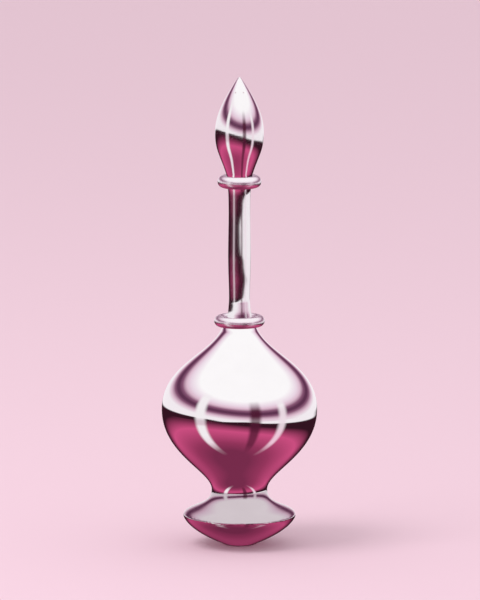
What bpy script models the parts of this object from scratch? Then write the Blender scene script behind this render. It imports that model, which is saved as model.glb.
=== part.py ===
"""Rosewater sprinkler of silvered sheet metal, standing on its foot.

A bellied flask stands on a weighted foot. A long neck screws into the mouth of
the flask, and a pierced bud screws onto the neck. Each soft washer stays with
the part that screws down on it. Lengths are in metres, +Z is up, and the
origin is where the axis meets the surface that the foot stands on.
"""

from math import acos, asin, atan2, cos, pi, radians, sin, tau

import bmesh
import bpy
from mathutils import Matrix, Vector

# Clearances and mesh settings
SEAT_GAP = 0.0003
CUT_OVERRUN = 0.001
MERGE_DISTANCE = 0.000001
SHARP_ANGLE = radians(35.0)
SHELL_SEGMENTS = 36
RING_SEGMENTS = 28
FITTING_SEGMENTS = 24
HEX_SEGMENTS = 6
DRILL_SEGMENTS = 8
CURVE_STEPS = 9
TUBE_STEPS = 4
BEAD_STEPS = 10
THREAD_STEPS = 18
RUN_OUT_STEPS = 4

# Foot
FOOT_RIM_RADIUS = 0.0329
FOOT_RIM_HEIGHT = 0.0180
FOOT_CONE_HEIGHT = 0.0148
FOOT_WALL = 0.0012
FOOT_LIP_DEPTH = 0.0015
WAIST_RADIUS = 0.01645
PAD_THICKNESS = 0.0012
PAD_PROUD = 0.0005
PAD_SEAT_WIDTH = 0.0018
PAD_LAND_WIDTH = 0.0011

# Tie bolt, which holds the flask down on its foot
BOLT_ACROSS_FLATS = 0.010
BOLT_HEAD_HEIGHT = 0.0040
BOLT_RADIUS = 0.0029
BOLT_CLEARANCE = 0.0004
SPANNER_ROOM = 0.0010
TIE_WASHER_THICKNESS = 0.0012
BOSS_RADIUS = 0.0060
BOSS_DEPTH = 0.0088
BOSS_CROWN = 0.0013
SPACER_WALL = 0.0014

# Flask
BELLY_RADIUS = 0.0461
BOWL_HEIGHT = 0.0481
SHOULDER_HEIGHT = 0.0478
COLLAR_HEIGHT = 0.0007
BODY_WALL = 0.0010
BODY_LIP_HEIGHT = 0.0025
LIP_THICKNESS = 0.0008

# Screw joint between flask and neck
NECK_THREAD_RADIUS = 0.0074
NECK_THREAD_DEPTH = 0.0009
NECK_THREAD_PITCH = 0.0025
MOUTH_WALL = 0.0013
MOUTH_FLANGE_THICKNESS = 0.0010
MOUTH_DEPTH = 0.0105
SPIGOT_DEPTH = 0.0093
NECK_WASHER_THICKNESS = 0.0010
WASHER_BORE_CLEARANCE = 0.0004
SLEEVE_LENGTH = 0.0070
SLEEVE_WALL = 0.0008
EDGE_CHAMFER = 0.0004

# Neck
TUBE_LENGTH = 0.0854
TUBE_WALL = 0.00085
TUBE_BASE_RADIUS = 0.0072
TUBE_WAIST_RADIUS = 0.00615
TUBE_SWELL_RADIUS = 0.00695
TUBE_SLIM_RADIUS = 0.00635
TUBE_TOP_RADIUS = 0.00695
SHOULDER_BEAD_RADIUS = 0.0030
COLLAR_BEAD_RADIUS = 0.0032

# Screw joint between neck and bud
HEAD_THREAD_RADIUS = 0.0050
HEAD_THREAD_DEPTH = 0.0007
HEAD_THREAD_PITCH = 0.0020
NIPPLE_WALL = 0.0010
NIPPLE_LENGTH = 0.0080
NIPPLE_FLANGE_THICKNESS = 0.0008
HEAD_WASHER_THICKNESS = 0.0008
HEAD_SOCKET_WALL = 0.0007
HEAD_SOCKET_DEPTH = 0.0074
HEAD_FLANGE_THICKNESS = 0.0008

# Bud
BUD_RADIUS = 0.0144
BUD_WALL = 0.0009
BUD_OVERHANG = 0.00075
CUP_HEIGHT = 0.0256
CONE_HEIGHT = 0.0322
BUD_LIP_HEIGHT = 0.0016
TIP_RADIUS = 0.0010
SPRAY_HOLE_RADIUS = 0.0004
SPRAY_HOLE_COUNT = 8

# Outlines, as shares of the width and the height that a curve crosses:
# the first handle's width and height, then the second handle's
UNDERSIDE_SHARES = (0.80, 0.48, 1.00, 0.83)
FOOT_TOP_SHARES = (0.00, 0.38, 0.92, 0.33)
BOWL_SHARES = (0.00, 0.235, 1.00, 0.45)
SHOULDER_SHARES = (0.00, 0.53, 0.79, 0.67)
CUP_SHARES = (0.61, 0.57, 1.00, 0.56)
CONE_SHARES = (0.00, 0.39, 0.93, 0.96)
TUBE_HEIGHT_SHARES = (0.00, 0.043, 0.165, 0.434, 0.786, 0.938, 1.00)
SHOULDER_BEAD_SHARE = 0.57
SHOULDER_WEB_SHARE = 0.67
COLLAR_BEAD_SHARE = 0.88
COLLAR_SINK_SHARE = 0.42
THREAD_ROOT_SHARE = 0.26
THREAD_CREST_SHARE = 0.13
SPRAY_HOLE_SHARE = 0.74


def finish(name, colour, metallic, roughness):
    """A material of one colour, as bare metal, rubber or felt."""
    material = bpy.data.materials.new(name)
    material.use_nodes = True
    shader = material.node_tree.nodes["Principled BSDF"]
    shader.inputs["Base Color"].default_value = (*colour, 1.0)
    shader.inputs["Metallic"].default_value = metallic
    shader.inputs["Roughness"].default_value = roughness
    return material


def frame(name, height, parent=None):
    """An empty on the axis, at a height over its parent, for pieces that move together."""
    empty = bpy.data.objects.new(name, None)
    bpy.context.collection.objects.link(empty)
    empty.parent = parent
    empty.location = (0.0, 0.0, height)
    return empty


def solid(name, shape, material, parent):
    """Turn a finished bmesh into a named object under its frame."""
    mesh = bpy.data.meshes.new(name)
    shape.to_mesh(mesh)
    shape.free()
    mesh.materials.append(material)
    mesh.shade_smooth()
    mesh.set_sharp_from_angle(angle=SHARP_ANGLE)
    piece = bpy.data.objects.new(name, mesh)
    bpy.context.collection.objects.link(piece)
    piece.parent = parent
    return piece


def turned(name, outline, segments, material, parent):
    """Spin an outline of (radius, height) points round the axis.

    An outline that starts and ends on the axis is left open there.
    """
    shape = bmesh.new()
    points = [shape.verts.new((radius, 0.0, height)) for radius, height in outline]
    edges = [shape.edges.new(pair) for pair in zip(points, points[1:])]
    if outline[0][0] > 0.0:
        edges.append(shape.edges.new((points[-1], points[0])))
    bmesh.ops.spin(shape, geom=points + edges, cent=(0, 0, 0), axis=(0, 0, 1),
                   angle=tau, steps=segments, use_merge=True)
    bmesh.ops.remove_doubles(shape, verts=shape.verts, dist=MERGE_DISTANCE)
    bmesh.ops.recalc_face_normals(shape, faces=shape.faces)
    return solid(name, shape, material, parent)


def hide_tool(tool):
    """Keep a cutter or a thread out of the model itself."""
    tool.hide_render = True
    tool.display_type = "WIRE"


def combine(piece, tool, operation):
    """Cut a piece with a hidden tool, or join the tool to it."""
    hide_tool(tool)
    boolean = piece.modifiers.new(tool.name, "BOOLEAN")
    boolean.object = tool
    boolean.operation = operation
    boolean.solver = "EXACT"


def swept(start, end, shares, steps=CURVE_STEPS):
    """Points of a cubic curve whose handles are shares of its width and height."""
    width = end[0] - start[0]
    height = end[1] - start[1]
    first = (start[0] + width * shares[0], start[1] + height * shares[1])
    second = (start[0] + width * shares[2], start[1] + height * shares[3])
    points = []
    for step in range(steps + 1):
        t = step / steps
        weights = ((1 - t) ** 3, 3 * t * (1 - t) ** 2, 3 * t ** 2 * (1 - t), t ** 3)
        corners = (start, first, second, end)
        points.append(tuple(sum(w * c[axis] for w, c in zip(weights, corners)) for axis in (0, 1)))
    return points


def inset(points, wall):
    """Move an outline that runs upwards towards the axis by a wall's thickness."""
    moved = []
    for index, (radius, height) in enumerate(points):
        before = points[max(index - 1, 0)]
        after = points[min(index + 1, len(points) - 1)]
        run = Vector((after[0] - before[0], after[1] - before[1])).normalized()
        moved.append((radius - wall * run.y, height + wall * run.x))
    return moved


def between(points, low, high):
    """The part of a rising outline between two heights, cut square at both."""
    kept = []
    for here, there in zip(points, points[1:]):
        for height in (low, high):
            if here[1] < height < there[1]:
                kept.append((radius_at(points, height), height))
        if low <= there[1] <= high:
            kept.append(there)
    if low <= points[0][1] <= high:
        kept.insert(0, points[0])
    return kept


def radius_at(points, height):
    """Radius of a rising outline at a height."""
    for here, there in zip(points, points[1:]):
        if here[1] <= height <= there[1]:
            share = (height - here[1]) / (there[1] - here[1])
            return here[0] + share * (there[0] - here[0])
    return points[0][0] if height < points[0][1] else points[-1][0]


def bead(radius, height, size, start, end):
    """Points of a round bead's section, by angle from the outward direction."""
    angles = [start + (end - start) * step / BEAD_STEPS for step in range(BEAD_STEPS + 1)]
    return [(radius + size * cos(angle), height + size * sin(angle)) for angle in angles]


def thread(name, root, crest, start, turns, pitch, material, parent):
    """A right-handed ridge that winds from a root radius to a crest radius.

    Its root is sunk into the metal that carries it, and both ends run out.
    """
    sink = SEAT_GAP if root < crest else -SEAT_GAP
    steps = round(turns * THREAD_STEPS)
    root_half = pitch * THREAD_ROOT_SHARE
    crest_half = pitch * THREAD_CREST_SHARE
    shape = bmesh.new()
    previous = None
    for step in range(steps + 1):
        angle = tau * step / THREAD_STEPS
        height = start + pitch * step / THREAD_STEPS
        full = min(step, steps - step, RUN_OUT_STEPS) / RUN_OUT_STEPS
        top = root - sink / 2 + (crest - root + sink / 2) * full
        section = ((root - sink, -root_half), (top, -crest_half), (top, crest_half), (root - sink, root_half))
        ring = [shape.verts.new((r * cos(angle), r * sin(angle), height + z)) for r, z in section]
        if previous is None:
            shape.faces.new(ring)
        else:
            for corner in range(len(ring)):
                following = (corner + 1) % len(ring)
                shape.faces.new((previous[corner], previous[following], ring[following], ring[corner]))
        previous = ring
    shape.faces.new(previous)
    bmesh.ops.recalc_face_normals(shape, faces=shape.faces)
    return solid(name, shape, material, parent)


for old in list(bpy.data.objects):
    bpy.data.objects.remove(old)

silver = finish("silver_plate", (0.90, 0.88, 0.89), 1.0, 0.06)
brass = finish("turned_brass", (0.78, 0.60, 0.30), 1.0, 0.25)
steel = finish("plain_steel", (0.55, 0.55, 0.56), 1.0, 0.35)
iron = finish("cast_iron", (0.10, 0.10, 0.11), 0.8, 0.70)
rubber = finish("washer_rubber", (0.12, 0.05, 0.04), 0.0, 0.80)
felt = finish("base_felt", (0.12, 0.03, 0.05), 0.0, 1.0)

vessel = frame("vessel_frame", 0.0)

# Radii that the foot's fittings share
bolt_corner_radius = BOLT_ACROSS_FLATS / 2 / cos(pi / HEX_SEGMENTS)
access_radius = bolt_corner_radius + SPANNER_ROOM
pad_radius = access_radius + PAD_SEAT_WIDTH
recess_radius = pad_radius + SEAT_GAP
land_radius = recess_radius + PAD_LAND_WIDTH

# Foot bowl, a dished shell with a recess under it for the felt
recess_height = PAD_THICKNESS + SEAT_GAP
foot_floor = recess_height + FOOT_WALL
underside = swept((land_radius, PAD_PROUD), (FOOT_RIM_RADIUS, FOOT_RIM_HEIGHT), UNDERSIDE_SHARES)
foot_inside = between(inset(underside, FOOT_WALL), foot_floor, FOOT_RIM_HEIGHT)
turned("foot_bowl",
       [(access_radius, recess_height), (recess_radius, recess_height), (recess_radius, PAD_PROUD)]
       + underside + foot_inside[::-1] + [(access_radius, foot_floor)],
       SHELL_SEGMENTS, silver, vessel)

# Felt pad, glued in the recess and standing a little proud of the metal
turned("base_pad",
       [(0.0, 0.0), (pad_radius, 0.0), (pad_radius, PAD_THICKNESS), (0.0, PAD_THICKNESS)],
       FITTING_SEGMENTS, felt, vessel)

# Foot cone, whose lip drops inside the foot bowl's rim
foot_seam = FOOT_RIM_HEIGHT + SEAT_GAP
foot_top = FOOT_RIM_HEIGHT + FOOT_CONE_HEIGHT
foot_lip_bottom = foot_seam - FOOT_LIP_DEPTH
foot_lip_radius = radius_at(foot_inside, foot_lip_bottom) - SEAT_GAP
foot_lip_inside = foot_lip_radius - LIP_THICKNESS
boss_hole_radius = BOSS_RADIUS + SEAT_GAP
cone_outside = swept((FOOT_RIM_RADIUS, foot_seam), (WAIST_RADIUS, foot_top), FOOT_TOP_SHARES)
plate_bottom = foot_top - FOOT_WALL
cone_inside = between(inset(cone_outside, FOOT_WALL), foot_seam + FOOT_LIP_DEPTH, plate_bottom)
cone_inside = [point for point in cone_inside if point[0] < foot_lip_inside]
turned("foot_cone",
       [(foot_lip_radius, foot_seam)] + cone_outside
       + [(boss_hole_radius, foot_top), (boss_hole_radius, plate_bottom)] + cone_inside[::-1]
       + [(foot_lip_inside, foot_seam + FOOT_LIP_DEPTH), (foot_lip_inside, foot_lip_bottom),
          (foot_lip_radius, foot_lip_bottom)],
       SHELL_SEGMENTS, silver, vessel)

# Tie bolt and washer, pushed up through the hole that the felt covers
bolt_bottom = PAD_THICKNESS + SEAT_GAP
bolt_shoulder = bolt_bottom + BOLT_HEAD_HEIGHT
washer_bottom = bolt_shoulder + SEAT_GAP
washer_top = washer_bottom + TIE_WASHER_THICKNESS
bolt_top = foot_top - BOSS_CROWN - SEAT_GAP
tie_bolt = turned("tie_bolt",
                  [(0.0, bolt_bottom + EDGE_CHAMFER), (BOLT_RADIUS, bolt_bottom + EDGE_CHAMFER),
                   (BOLT_RADIUS, bolt_top - EDGE_CHAMFER), (BOLT_RADIUS - EDGE_CHAMFER, bolt_top),
                   (0.0, bolt_top)],
                  FITTING_SEGMENTS, steel, vessel)
bolt_head = turned("tie_bolt_head",
                   [(0.0, bolt_bottom), (bolt_corner_radius, bolt_bottom),
                    (bolt_corner_radius, bolt_shoulder), (0.0, bolt_shoulder)],
                   HEX_SEGMENTS, steel, vessel)
combine(tie_bolt, bolt_head, "UNION")
tie_washer_radius = access_radius - SEAT_GAP
bolt_hole_radius = BOLT_RADIUS + BOLT_CLEARANCE
turned("tie_washer",
       [(bolt_hole_radius, washer_bottom), (tie_washer_radius, washer_bottom),
        (tie_washer_radius, washer_top), (bolt_hole_radius, washer_top)],
       FITTING_SEGMENTS, steel, vessel)

# Foot weight, cast to the inside of the foot bowl
weight_bottom = foot_floor + SEAT_GAP
weight_top = foot_lip_bottom - SEAT_GAP
weight_side = between(inset(underside, FOOT_WALL + SEAT_GAP), weight_bottom, weight_top)
turned("foot_weight",
       [(access_radius, weight_bottom)] + weight_side
       + [(bolt_hole_radius, weight_top), (bolt_hole_radius, washer_top + SEAT_GAP),
          (access_radius, washer_top + SEAT_GAP)],
       SHELL_SEGMENTS, iron, vessel)

# Spacer tube, which props the top of the foot while the bolt pulls
spacer_inside = boss_hole_radius + SEAT_GAP
spacer_outside = spacer_inside + SPACER_WALL
spacer_bottom = weight_top + SEAT_GAP
spacer_top = plate_bottom - SEAT_GAP
turned("spacer_tube",
       [(spacer_inside, spacer_bottom), (spacer_outside, spacer_bottom),
        (spacer_outside, spacer_top), (spacer_inside, spacer_top)],
       FITTING_SEGMENTS, steel, vessel)

# Bottom boss, soldered under the flask, which takes the bolt
boss_bottom = foot_top - BOSS_DEPTH
boss_bore_radius = BOLT_RADIUS + SEAT_GAP
turned("bottom_boss",
       [(0.0, foot_top), (BOSS_RADIUS, foot_top), (BOSS_RADIUS, boss_bottom),
        (boss_bore_radius, boss_bottom), (boss_bore_radius, foot_top - BOSS_CROWN),
        (0.0, foot_top - BOSS_CROWN)],
       FITTING_SEGMENTS, brass, vessel)

# Radii of the mouth, worked out from the neck's thread outwards
mouth_root_radius = NECK_THREAD_RADIUS + SEAT_GAP
mouth_crest_radius = mouth_root_radius - NECK_THREAD_DEPTH
mouth_radius = mouth_root_radius + MOUTH_WALL
collar_inside = mouth_radius + SEAT_GAP
collar_radius = collar_inside + BODY_WALL
mouth_flange_radius = collar_radius - SEAT_GAP

# Body bowl and body shoulder, two spun shells that meet at the belly
body_bottom = foot_top + SEAT_GAP
belly = body_bottom + BOWL_HEIGHT
belly_seam = belly + SEAT_GAP
collar_bottom = belly_seam + SHOULDER_HEIGHT
collar_top = collar_bottom + COLLAR_HEIGHT
bowl_outside = swept((WAIST_RADIUS, body_bottom), (BELLY_RADIUS, belly), BOWL_SHARES)
shoulder_outside = swept((BELLY_RADIUS, belly_seam), (collar_radius, collar_bottom), SHOULDER_SHARES)
shoulder_inside = between(inset(shoulder_outside, BODY_WALL), belly_seam, collar_bottom)
body_lip_top = belly + BODY_LIP_HEIGHT
body_lip_radius = radius_at(shoulder_inside, body_lip_top) - SEAT_GAP
body_lip_inside = body_lip_radius - LIP_THICKNESS
body_floor = body_bottom + BODY_WALL
bowl_inside = between(inset(bowl_outside, BODY_WALL), body_floor, belly - 2 * BODY_LIP_HEIGHT)
turned("body_bowl",
       [(0.0, body_bottom)] + bowl_outside
       + [(body_lip_radius, belly), (body_lip_radius, body_lip_top), (body_lip_inside, body_lip_top),
          (body_lip_inside, belly - BODY_LIP_HEIGHT)]
       + bowl_inside[::-1] + [(0.0, body_floor)],
       SHELL_SEGMENTS, silver, vessel)
turned("body_shoulder",
       shoulder_outside + [(collar_radius, collar_top), (collar_inside, collar_top)] + shoulder_inside[::-1],
       SHELL_SEGMENTS, silver, vessel)

# Mouth socket, soldered into the collar, with the female thread
mouth_flange_bottom = collar_top + SEAT_GAP
mouth = mouth_flange_bottom + MOUTH_FLANGE_THICKNESS
socket_bottom = mouth_flange_bottom - MOUTH_DEPTH
mouth_socket = turned("mouth_socket",
                      [(mouth_root_radius, socket_bottom), (mouth_radius, socket_bottom),
                       (mouth_radius, mouth_flange_bottom), (mouth_flange_radius, mouth_flange_bottom),
                       (mouth_flange_radius, mouth), (mouth_root_radius + EDGE_CHAMFER, mouth),
                       (mouth_root_radius, mouth - EDGE_CHAMFER)],
                      FITTING_SEGMENTS, brass, vessel)

# Heights on the neck, measured from the mouth that it screws down on
neck = frame("neck_frame", mouth, vessel)
neck_washer_bottom = SEAT_GAP
neck_washer_top = neck_washer_bottom + NECK_WASHER_THICKNESS
tube_bottom = neck_washer_top + SEAT_GAP
tube_top = tube_bottom + TUBE_LENGTH
tube_bore_radius = TUBE_WAIST_RADIUS - TUBE_WALL
sleeve_radius = tube_bore_radius - SEAT_GAP

# Neck washer, a soft ring that seals the mouth
spigot_core_radius = NECK_THREAD_RADIUS - NECK_THREAD_DEPTH
neck_washer_bore = spigot_core_radius + WASHER_BORE_CLEARANCE
turned("neck_washer",
       [(neck_washer_bore, neck_washer_bottom), (mouth_flange_radius, neck_washer_bottom),
        (mouth_flange_radius, neck_washer_top), (neck_washer_bore, neck_washer_top)],
       FITTING_SEGMENTS, rubber, neck)

# Neck spigot, threaded below and sleeved into the tube above
spigot_shoulder = tube_bottom - SEAT_GAP
spigot_bottom = -SPIGOT_DEPTH
spigot_bore_radius = sleeve_radius - SLEEVE_WALL
neck_spigot = turned("neck_spigot",
                     [(spigot_bore_radius, spigot_bottom), (spigot_core_radius - EDGE_CHAMFER, spigot_bottom),
                      (spigot_core_radius, spigot_bottom + EDGE_CHAMFER),
                      (spigot_core_radius, spigot_shoulder), (sleeve_radius, spigot_shoulder),
                      (sleeve_radius, tube_bottom + SLEEVE_LENGTH),
                      (spigot_bore_radius, tube_bottom + SLEEVE_LENGTH)],
                     FITTING_SEGMENTS, brass, neck)

# The two neck threads interleave, half a pitch apart
neck_thread_start = spigot_bottom + NECK_THREAD_PITCH / 2
neck_thread_turns = (SPIGOT_DEPTH - NECK_THREAD_PITCH) / NECK_THREAD_PITCH
mouth_thread_turns = (MOUTH_DEPTH - NECK_THREAD_PITCH) / NECK_THREAD_PITCH
combine(neck_spigot,
        thread("neck_spigot_thread", spigot_core_radius, NECK_THREAD_RADIUS, neck_thread_start,
               neck_thread_turns, NECK_THREAD_PITCH, brass, neck), "UNION")
combine(mouth_socket,
        thread("mouth_socket_thread", mouth_root_radius, mouth_crest_radius,
               mouth + neck_thread_start - NECK_THREAD_PITCH / 2,
               mouth_thread_turns, NECK_THREAD_PITCH, brass, vessel), "UNION")

# Neck tube, drawn with a slow swell and thinning along its length
tube_radii = (TUBE_BASE_RADIUS, TUBE_BASE_RADIUS, TUBE_WAIST_RADIUS, TUBE_SWELL_RADIUS,
              TUBE_SLIM_RADIUS, TUBE_TOP_RADIUS, TUBE_TOP_RADIUS)
tube_knots = [(radius, tube_bottom + share * TUBE_LENGTH)
              for radius, share in zip(tube_radii, TUBE_HEIGHT_SHARES)]
tube_outside = [tube_knots[0]]
for low, high in zip(tube_knots[:-1], tube_knots[1:]):
    steps = 1 if low[0] == high[0] else TUBE_STEPS
    for step in range(1, steps + 1):
        ease = (1 - cos(pi * step / steps)) / 2
        tube_outside.append((low[0] + ease * (high[0] - low[0]),
                             low[1] + step / steps * (high[1] - low[1])))
turned("neck_tube",
       tube_outside + [(tube_bore_radius, tube_top), (tube_bore_radius, tube_bottom)],
       FITTING_SEGMENTS, silver, neck)

# Shoulder ring, a round bead whose web is soldered round the foot of the tube
counterbore_radius = mouth_flange_radius + SEAT_GAP
shoulder_ring_radius = counterbore_radius + SHOULDER_BEAD_RADIUS * SHOULDER_BEAD_SHARE
shoulder_ring_height = SEAT_GAP + SHOULDER_BEAD_RADIUS
web_bore_radius = TUBE_BASE_RADIUS + SEAT_GAP
web_top = shoulder_ring_height + SHOULDER_BEAD_RADIUS * SHOULDER_WEB_SHARE
turned("shoulder_ring",
       bead(shoulder_ring_radius, shoulder_ring_height, SHOULDER_BEAD_RADIUS,
            -pi + acos(SHOULDER_BEAD_SHARE), pi - asin(SHOULDER_WEB_SHARE))
       + [(web_bore_radius, web_top), (web_bore_radius, tube_bottom), (counterbore_radius, tube_bottom)],
       RING_SEGMENTS, silver, neck)

# Neck nipple, sleeved into the top of the tube, with the bud's male thread
nipple_flange_bottom = tube_top + SEAT_GAP
head_seat = nipple_flange_bottom + NIPPLE_FLANGE_THICKNESS
nipple_core_radius = HEAD_THREAD_RADIUS - HEAD_THREAD_DEPTH
nipple_bore_radius = nipple_core_radius - NIPPLE_WALL
nipple_top = head_seat + NIPPLE_LENGTH
neck_nipple = turned("neck_nipple",
                     [(nipple_bore_radius, tube_top - SLEEVE_LENGTH),
                      (sleeve_radius, tube_top - SLEEVE_LENGTH),
                      (sleeve_radius, nipple_flange_bottom), (TUBE_TOP_RADIUS, nipple_flange_bottom),
                      (TUBE_TOP_RADIUS, head_seat), (nipple_core_radius, head_seat),
                      (nipple_core_radius, nipple_top - EDGE_CHAMFER),
                      (nipple_core_radius - EDGE_CHAMFER, nipple_top), (nipple_bore_radius, nipple_top)],
                     FITTING_SEGMENTS, brass, neck)

# Collar ring, a round bead soldered round the top of the tube
collar_bore_radius = TUBE_TOP_RADIUS + SEAT_GAP
collar_ring_radius = collar_bore_radius + COLLAR_BEAD_RADIUS * COLLAR_BEAD_SHARE
collar_ring_height = head_seat - COLLAR_BEAD_RADIUS * COLLAR_SINK_SHARE
turned("collar_ring",
       bead(collar_ring_radius, collar_ring_height, COLLAR_BEAD_RADIUS,
            -pi + acos(COLLAR_BEAD_SHARE), pi - acos(COLLAR_BEAD_SHARE)),
       RING_SEGMENTS, silver, neck)

# Heights on the bud, measured from the seat that it screws down on
head = frame("head_frame", head_seat, neck)
head_washer_bottom = SEAT_GAP
head_washer_top = head_washer_bottom + HEAD_WASHER_THICKNESS
head_flange_bottom = head_washer_top + SEAT_GAP
head_flange_top = head_flange_bottom + HEAD_FLANGE_THICKNESS
cup_bottom = head_flange_top + SEAT_GAP
cup_base_radius = TUBE_TOP_RADIUS + BUD_OVERHANG
bud_seam = cup_bottom + CUP_HEIGHT

# Head washer, a soft ring under the bud, wide enough to pass over the nipple's thread
head_washer_bore = HEAD_THREAD_RADIUS + WASHER_BORE_CLEARANCE
turned("head_washer",
       [(head_washer_bore, head_washer_bottom), (TUBE_TOP_RADIUS, head_washer_bottom),
        (TUBE_TOP_RADIUS, head_washer_top), (head_washer_bore, head_washer_top)],
       FITTING_SEGMENTS, rubber, head)

# Head socket, soldered into the bud's base, with the female thread
head_root_radius = HEAD_THREAD_RADIUS + SEAT_GAP
head_crest_radius = head_root_radius - HEAD_THREAD_DEPTH
head_socket_radius = head_root_radius + HEAD_SOCKET_WALL
head_flange_radius = cup_base_radius - SEAT_GAP
head_socket_top = head_flange_top + HEAD_SOCKET_DEPTH
head_socket = turned("head_socket",
                     [(head_root_radius + EDGE_CHAMFER, head_flange_bottom),
                      (head_flange_radius, head_flange_bottom), (head_flange_radius, head_flange_top),
                      (head_socket_radius, head_flange_top), (head_socket_radius, head_socket_top),
                      (head_root_radius, head_socket_top),
                      (head_root_radius, head_flange_bottom + EDGE_CHAMFER)],
                     FITTING_SEGMENTS, brass, head)

# The two bud threads interleave, half a pitch apart
nipple_thread_start = head_washer_top + HEAD_THREAD_PITCH / 2
nipple_thread_turns = (NIPPLE_LENGTH - nipple_thread_start - HEAD_THREAD_PITCH / 2) / HEAD_THREAD_PITCH
head_thread_turns = (head_socket_top - nipple_thread_start - HEAD_THREAD_PITCH) / HEAD_THREAD_PITCH
combine(neck_nipple,
        thread("neck_nipple_thread", nipple_core_radius, HEAD_THREAD_RADIUS, head_seat + nipple_thread_start,
               nipple_thread_turns, HEAD_THREAD_PITCH, brass, neck), "UNION")
combine(head_socket,
        thread("head_socket_thread", head_root_radius, head_crest_radius,
               nipple_thread_start + HEAD_THREAD_PITCH / 2,
               head_thread_turns, HEAD_THREAD_PITCH, brass, head), "UNION")

# Head cup and head cone, the two spun halves of the bud
tip = bud_seam + SEAT_GAP + CONE_HEIGHT
cup_outside = swept((cup_base_radius, cup_bottom), (BUD_RADIUS, bud_seam), CUP_SHARES)
cone_outside = swept((BUD_RADIUS, bud_seam + SEAT_GAP), (TIP_RADIUS, tip - TIP_RADIUS / 2), CONE_SHARES)
cone_inside = [point for point in inset(cone_outside, BUD_WALL) if point[0] > TIP_RADIUS]
cone_inside[0] = (cone_inside[0][0], bud_seam + SEAT_GAP)
bud_lip_top = bud_seam + BUD_LIP_HEIGHT
bud_lip_radius = radius_at(cone_inside, bud_lip_top) - SEAT_GAP
bud_lip_inside = bud_lip_radius - LIP_THICKNESS
cup_inside = between(inset(cup_outside, BUD_WALL), cup_bottom, bud_seam - 2 * BUD_LIP_HEIGHT)
turned("head_cup",
       cup_outside
       + [(bud_lip_radius, bud_seam), (bud_lip_radius, bud_lip_top), (bud_lip_inside, bud_lip_top),
          (bud_lip_inside, bud_seam - BUD_LIP_HEIGHT)]
       + cup_inside[::-1] + [(cup_base_radius - BUD_WALL, cup_bottom)],
       RING_SEGMENTS, silver, head)
head_cone = turned("head_cone",
                   [(0.0, tip)] + cone_outside[::-1] + cone_inside + [(0.0, cone_inside[-1][1])],
                   RING_SEGMENTS, silver, head)

# Spray holes, drilled square to the cone's side near its tip
hole_height = bud_seam + SEAT_GAP + CONE_HEIGHT * SPRAY_HOLE_SHARE
hole_radius = radius_at(cone_outside, hole_height)
step_height = CONE_HEIGHT / CURVE_STEPS
slope = atan2(radius_at(cone_outside, hole_height - step_height)
              - radius_at(cone_outside, hole_height + step_height), 2 * step_height)
drill_length = 2 * (BUD_WALL + CUT_OVERRUN)
drills = bmesh.new()
for index in range(SPRAY_HOLE_COUNT):
    turn = Matrix.Rotation(tau * (index + 0.5) / SPRAY_HOLE_COUNT, 4, "Z")
    place = Matrix.Translation((hole_radius, 0.0, hole_height))
    tilt = Matrix.Rotation(pi / 2 - slope, 4, "Y")
    bmesh.ops.create_cone(drills, cap_ends=True, segments=DRILL_SEGMENTS, radius1=SPRAY_HOLE_RADIUS,
                          radius2=SPRAY_HOLE_RADIUS, depth=drill_length, matrix=turn @ place @ tilt)
combine(head_cone, solid("spray_drills", drills, steel, head), "DIFFERENCE")
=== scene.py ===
"""Looks of the rosewater sprinkler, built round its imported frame.

Mirror-polished silver shells, turned brass screw fittings, rubber washers and a
felt pad, in a bright studio with a rose ground below a dark skyline.
"""

from math import acos, atan2, cos, inf, pi, radians, sin, tau

import bmesh
import bpy
from mathutils import Matrix, Vector


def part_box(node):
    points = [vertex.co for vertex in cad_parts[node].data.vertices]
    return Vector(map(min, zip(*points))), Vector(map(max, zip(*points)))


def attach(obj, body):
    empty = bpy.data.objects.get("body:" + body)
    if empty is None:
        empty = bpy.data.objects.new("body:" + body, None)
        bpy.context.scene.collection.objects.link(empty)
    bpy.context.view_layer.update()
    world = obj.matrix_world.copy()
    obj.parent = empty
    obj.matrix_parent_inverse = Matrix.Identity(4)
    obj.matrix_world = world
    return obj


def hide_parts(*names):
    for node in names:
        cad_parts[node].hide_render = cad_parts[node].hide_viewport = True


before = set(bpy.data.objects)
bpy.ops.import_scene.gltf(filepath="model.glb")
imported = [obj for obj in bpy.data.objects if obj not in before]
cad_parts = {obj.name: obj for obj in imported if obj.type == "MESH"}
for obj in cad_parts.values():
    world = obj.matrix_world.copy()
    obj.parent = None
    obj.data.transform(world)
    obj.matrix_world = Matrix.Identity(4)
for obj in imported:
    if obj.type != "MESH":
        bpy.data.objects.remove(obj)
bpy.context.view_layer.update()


# Felt pad: a disc of pressed wool felt, punched out and glued into the recess under
# the foot. It stands half a millimetre proud of the metal, with a soft rounded edge,
# and it is all that touches the table.
SPIN_STEPS = 192
WELD = 0.000001
CREASE = radians(40.0)
EDGE_SEGMENTS = 3
FELT_EDGE = 0.00035
FELT_COLOUR = (0.105, 0.022, 0.040, 1.0)
FELT_FIBRE = (0.190, 0.060, 0.085, 1.0)
FELT_MOTTLE = 0.6
FELT_NAP_DEPTH = 0.0003
FELT_NAP_STRENGTH = 0.7
FELT_ROUGHNESS = 1.0
FELT_SHEEN = 0.4


def feed(tree, made, sockets):
    """Give a node's sockets their values, or the outputs that feed them."""
    for socket, value in sockets.items():
        if isinstance(value, bpy.types.NodeSocket):
            tree.links.new(value, made.inputs[socket])
        else:
            made.inputs[socket].default_value = value


def node(tree, kind, sockets, **settings):
    """Add a node with its settings, and feed its sockets."""
    made = tree.nodes.new(kind)
    for name, value in settings.items():
        setattr(made, name, value)
    feed(tree, made, sockets)
    return made


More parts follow.
